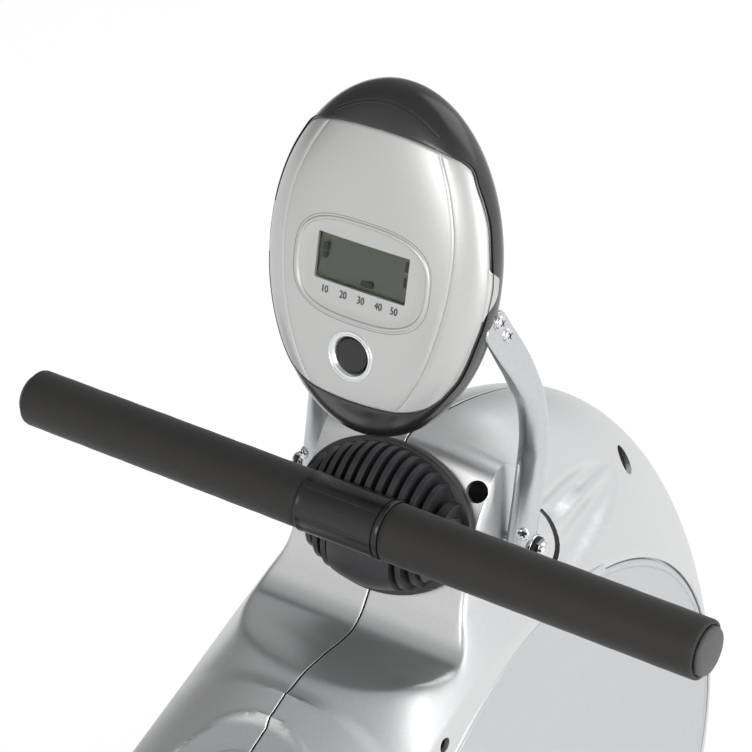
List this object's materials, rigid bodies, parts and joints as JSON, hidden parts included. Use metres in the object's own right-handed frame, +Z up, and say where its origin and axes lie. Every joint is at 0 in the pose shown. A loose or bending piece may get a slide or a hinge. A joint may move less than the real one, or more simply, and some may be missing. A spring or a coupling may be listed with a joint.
{
  "type": "magnetic rowing machine",
  "caption": "Folding rowing machine: moulded flywheel housing, tilted console on bracket arms, strap-drawn pull handle on a ribbed rest, rolling seat on a rail and swivelling footplates.",
  "frame": {"origin": "on the floor, in the middle of the machine's length and width", "axes": "+Z up, +Y from the rower towards the flywheel housing, +X to the rower's right"},
  "size_m": [0.4676, 1.871, 0.7784],
  "materials": {
    "silver_plastic": "silver metallic paint on moulded plastic",
    "silver_paint": "satin silver powder coat on steel",
    "black_plastic": "satin black",
    "gloss_black": "smooth black",
    "grip_foam": "soft foam",
    "rubber": "matt",
    "webbing": "woven",
    "seat_vinyl": "grained black vinyl",
    "cable_jacket": "smooth",
    "bright_steel": "zinc plated",
    "cast_iron": "turned on the rim",
    "rail_aluminium": "anodised",
    "clear_window": "clear moulded plastic",
    "display": "grey-green liquid crystal",
    "circuit_board": "solder mask"
  },
  "bodies": {
    "frame": {"main_frame": "silver_paint", "left_side_plate": "silver_paint", "right_side_plate": "silver_paint", "front_stabilizer": "silver_paint", "front_end_cap_left": "rubber", "front_end_cap_right": "rubber", "left_housing_shell": "silver_plastic", "right_housing_shell": "silver_plastic", "left_side_cover": "silver_plastic", "right_side_cover": "silver_plastic", "handle_rest": "black_plastic", "inner_strap": "webbing", "console_arm_left": "silver_paint", "console_arm_right": "silver_paint", "arm_bolt_left": "bright_steel", "arm_bolt_right": "bright_steel", "console_front_shell": "silver_plastic", "console_back_shell": "gloss_black", "lcd_window": "clear_window", "lcd_panel": "display", "console_board": "circuit_board", "battery_cover": "gloss_black", "computer_cable": "cable_jacket", "tension_cable": "cable_jacket", "flywheel_axle": "bright_steel", "drive_axle": "bright_steel", "drive_belt": "rubber", "recoil_spring": "bright_steel", "hinge_pin": "bright_steel", "pedal_axle": "bright_steel"},
    "handle": {"handle_bar": "bright_steel", "handle_sleeve": "gloss_black", "handle_grip_left": "grip_foam", "handle_grip_right": "grip_foam", "handle_cap_left": "black_plastic", "handle_cap_right": "black_plastic", "pull_strap": "webbing"},
    "guide_roller": {"strap_guide_roller": "bright_steel"},
    "strap_drum": {"strap_drum": "black_plastic"},
    "drive_pulley": {"drive_pulley": "black_plastic"},
    "flywheel": {"flywheel": "cast_iron"},
    "tension_knob": {"tension_knob": "black_plastic"},
    "magnet_yoke": {"magnet_yoke": "bright_steel"},
    "console_button": {"console_button": "gloss_black"},
    "rail": {"rail": "rail_aluminium", "rear_leg": "silver_paint", "rear_end_cap_left": "rubber", "rear_end_cap_right": "rubber"},
    "rail_lock_knob": {"rail_lock_knob": "black_plastic"},
    "seat": {"seat_carriage": "silver_paint", "seat_pad": "seat_vinyl"},
    "front_seat_roller": {"front_seat_roller": "black_plastic"},
    "rear_seat_roller": {"rear_seat_roller": "black_plastic"},
    "lower_seat_roller": {"lower_seat_roller": "black_plastic"},
    "footplate_left": {"footplate_left": "black_plastic", "foot_strap_left": "webbing"},
    "footplate_right": {"footplate_right": "black_plastic", "foot_strap_right": "webbing"},
    "transport_wheel_left": {"transport_wheel_left": "rubber"},
    "transport_wheel_right": {"transport_wheel_right": "rubber"}
  },
  "joints": [
    {"name": "handle_pull", "type": "slide", "parent": "frame", "child": "handle", "axis": [0, -0.9945, 0.1045], "range_m": [0, 1.1], "stiffness_N_per_m": 20, "springref_m": -1},
    {"name": "guide_roller_spin", "type": "hinge", "parent": "frame", "child": "guide_roller", "pos_m": [0, 0.64243, 0.50123], "axis": [1, 0, 0], "continuous": true},
    {"name": "strap_drum_spin", "type": "hinge", "parent": "frame", "child": "strap_drum", "pos_m": [0, 0.59003, 0.32996], "axis": [1, 0, 0], "continuous": true},
    {"name": "drive_pulley_spin", "type": "hinge", "parent": "frame", "child": "drive_pulley", "pos_m": [0, 0.59003, 0.32996], "axis": [1, 0, 0], "continuous": true},
    {"name": "flywheel_spin", "type": "hinge", "parent": "frame", "child": "flywheel", "pos_m": [0, 0.72, 0.25], "axis": [1, 0, 0], "continuous": true},
    {"name": "tension_knob_turn", "type": "hinge", "parent": "frame", "child": "tension_knob", "pos_m": [0, 0.447, 0.40929], "axis": [0, -0.4248, 0.9053], "range_deg": [0, 270]},
    {"name": "magnet_yoke_swing", "type": "hinge", "parent": "frame", "child": "magnet_yoke", "pos_m": [0, 0.75501, 0.37208], "axis": [1, 0, 0], "range_deg": [0, 6]},
    {"name": "console_button_press", "type": "slide", "parent": "frame", "child": "console_button", "axis": [0, 0.9806, -0.1959], "range_m": [0, 0.002], "stiffness_N_per_m": 400, "springref_m": -0.0015},
    {"name": "rail_fold", "type": "hinge", "parent": "frame", "child": "rail", "pos_m": [0, 0.11, 0.262], "axis": [-1, 0, 0], "range_deg": [0, 85]},
    {"name": "rail_lock_turn", "type": "hinge", "parent": "frame", "child": "rail_lock_knob", "pos_m": [0, 0.114, 0.284], "axis": [1, 0, 0], "range_deg": [0, 300]},
    {"name": "seat_slide", "type": "slide", "parent": "rail", "child": "seat", "axis": [0, -1, 0], "range_m": [-0.25, 0.34]},
    {"name": "front_seat_roller_spin", "type": "hinge", "parent": "seat", "child": "front_seat_roller", "pos_m": [0, -0.39, 0.3223], "axis": [1, 0, 0], "continuous": true},
    {"name": "rear_seat_roller_spin", "type": "hinge", "parent": "seat", "child": "rear_seat_roller", "pos_m": [0, -0.51, 0.3223], "axis": [1, 0, 0], "continuous": true},
    {"name": "lower_seat_roller_spin", "type": "hinge", "parent": "seat", "child": "lower_seat_roller", "pos_m": [0, -0.45, 0.2097], "axis": [1, 0, 0], "continuous": true},
    {"name": "footplate_left_swivel", "type": "hinge", "parent": "frame", "child": "footplate_left", "pos_m": [-0.155, 0.33, 0.262], "axis": [1, 0, 0], "range_deg": [-20, 30]},
    {"name": "footplate_right_swivel", "type": "hinge", "parent": "frame", "child": "footplate_right", "pos_m": [0.155, 0.33, 0.262], "axis": [1, 0, 0], "range_deg": [-20, 30]},
    {"name": "transport_wheel_left_spin", "type": "hinge", "parent": "frame", "child": "transport_wheel_left", "pos_m": [-0.15, 0.852, 0.028], "axis": [1, 0, 0], "continuous": true},
    {"name": "transport_wheel_right_spin", "type": "hinge", "parent": "frame", "child": "transport_wheel_right", "pos_m": [0.15, 0.852, 0.028], "axis": [1, 0, 0], "continuous": true}
  ],
  "couplings": [
    {"joint": "guide_roller_spin", "follows": "handle_pull", "rad_per_m": 90},
    {"joint": "strap_drum_spin", "follows": "handle_pull", "rad_per_m": 32.15},
    {"joint": "drive_pulley_spin", "follows": "flywheel_spin", "ratio": 0.2444},
    {"joint": "magnet_yoke_swing", "follows": "tension_knob_turn", "ratio": 0.02222},
    {"joint": "front_seat_roller_spin", "follows": "seat_slide", "rad_per_m": 50},
    {"joint": "rear_seat_roller_spin", "follows": "seat_slide", "rad_per_m": 50},
    {"joint": "lower_seat_roller_spin", "follows": "seat_slide", "rad_per_m": -83.333}
  ]
}
